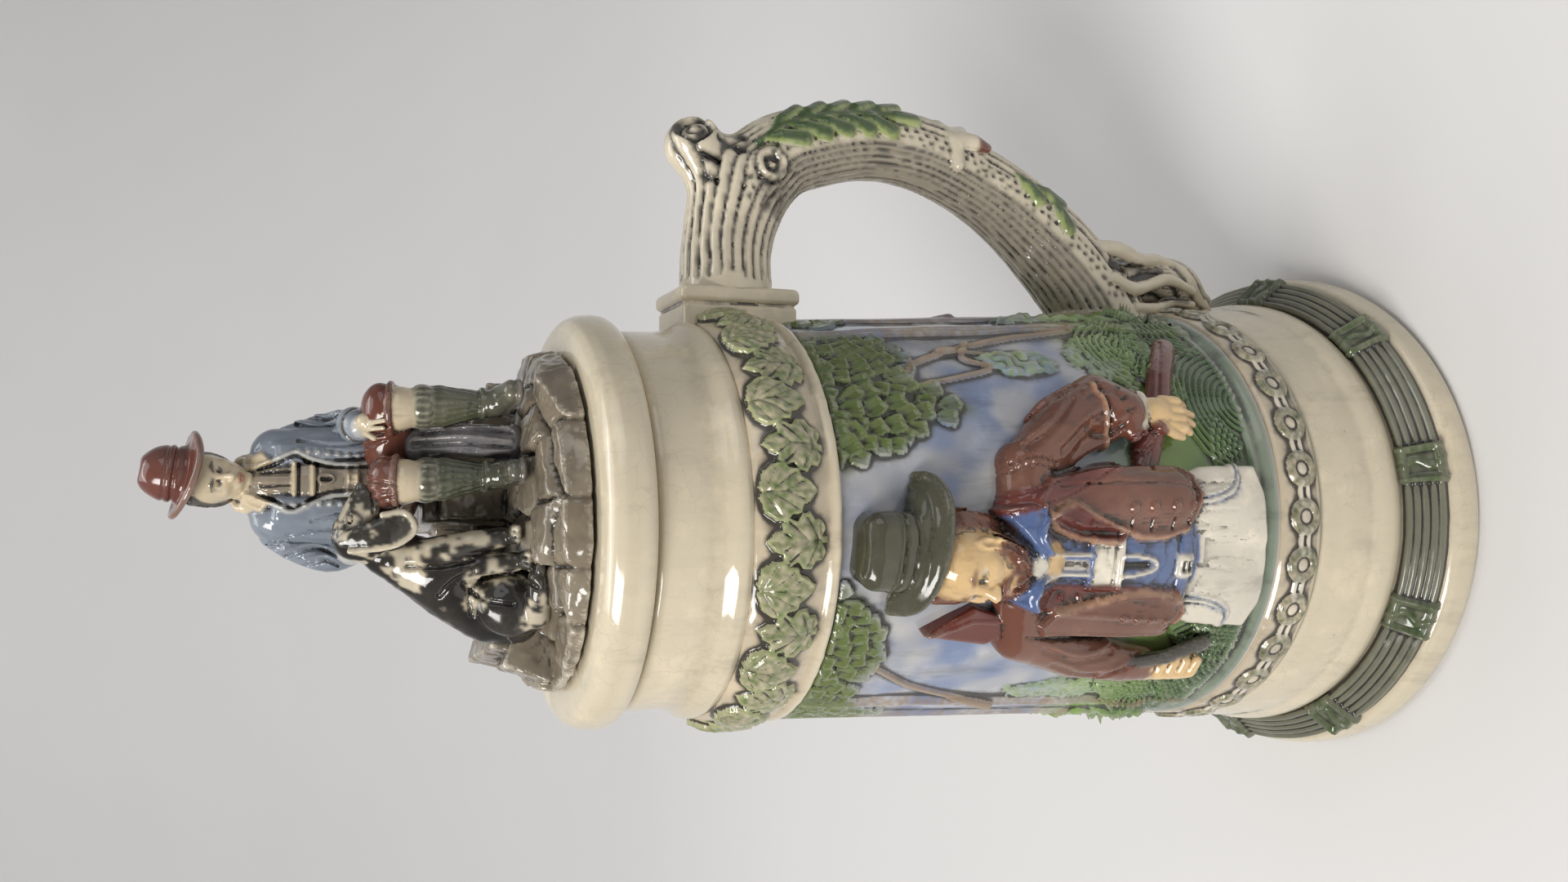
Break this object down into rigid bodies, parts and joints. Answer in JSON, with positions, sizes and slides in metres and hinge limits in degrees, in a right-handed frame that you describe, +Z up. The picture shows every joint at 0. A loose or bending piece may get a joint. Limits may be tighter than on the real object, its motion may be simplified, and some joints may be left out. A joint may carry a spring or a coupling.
{
  "type": "beer stein",
  "caption": "Lidded ceramic beer stein with a branch handle, a raised hunting scene on the barrel, and a loose lid carrying a seated hunter and hound.",
  "frame": {"origin": "centre of the flat resting face under the foot", "axes": "+Z up along the mug's axis, +X from the axis towards the handle, the large hunter relief on the -Y side"},
  "size_m": [0.1818, 0.1408, 0.3184],
  "materials": {
    "cream_glaze": "clear gloss glaze over cream earthenware",
    "leaf_green_glaze": "gloss glaze over leaf green underglaze with a dark wash",
    "moss_green_glaze": "gloss glaze over moss green underglaze with a dark wash",
    "bark_glaze": "gloss glaze over cream bark with dark grooves",
    "scene_glaze": "gloss glaze over hand-painted underglaze colours",
    "rock_grey_glaze": "gloss glaze over grey-brown underglaze with a dark wash",
    "jacket_blue_glaze": "gloss glaze over blue-grey underglaze",
    "skin_glaze": "gloss glaze over pale flesh underglaze",
    "hat_red_glaze": "gloss glaze over red-brown underglaze",
    "stocking_green_glaze": "gloss glaze over grey-green underglaze",
    "hound_black_glaze": "gloss glaze over black underglaze with cream patches"
  },
  "bodies": {
    "mug": {"mug_body": "cream_glaze", "foot_band": "moss_green_glaze", "chain_band": "moss_green_glaze", "leaf_band": "leaf_green_glaze", "hunter_relief": "scene_glaze", "handle_socket": "cream_glaze", "handle": "bark_glaze"},
    "lid": {"lid_plate": "cream_glaze", "rock_mound": "rock_grey_glaze", "rock_seat": "rock_grey_glaze", "hunter_torso": "jacket_blue_glaze", "hunter_head": "skin_glaze", "hunter_hat": "hat_red_glaze", "hunter_right_arm": "jacket_blue_glaze", "hunter_left_arm": "jacket_blue_glaze", "hunter_right_leg": "stocking_green_glaze", "hunter_left_leg": "stocking_green_glaze", "folded_coat": "jacket_blue_glaze", "hound_body": "hound_black_glaze", "hound_head": "hound_black_glaze"}
  },
  "joints": [
    {"name": "lid_lift", "type": "slide", "parent": "mug", "child": "lid", "axis": [0, 0, 1], "range_m": [0, 0.14]}
  ]
}
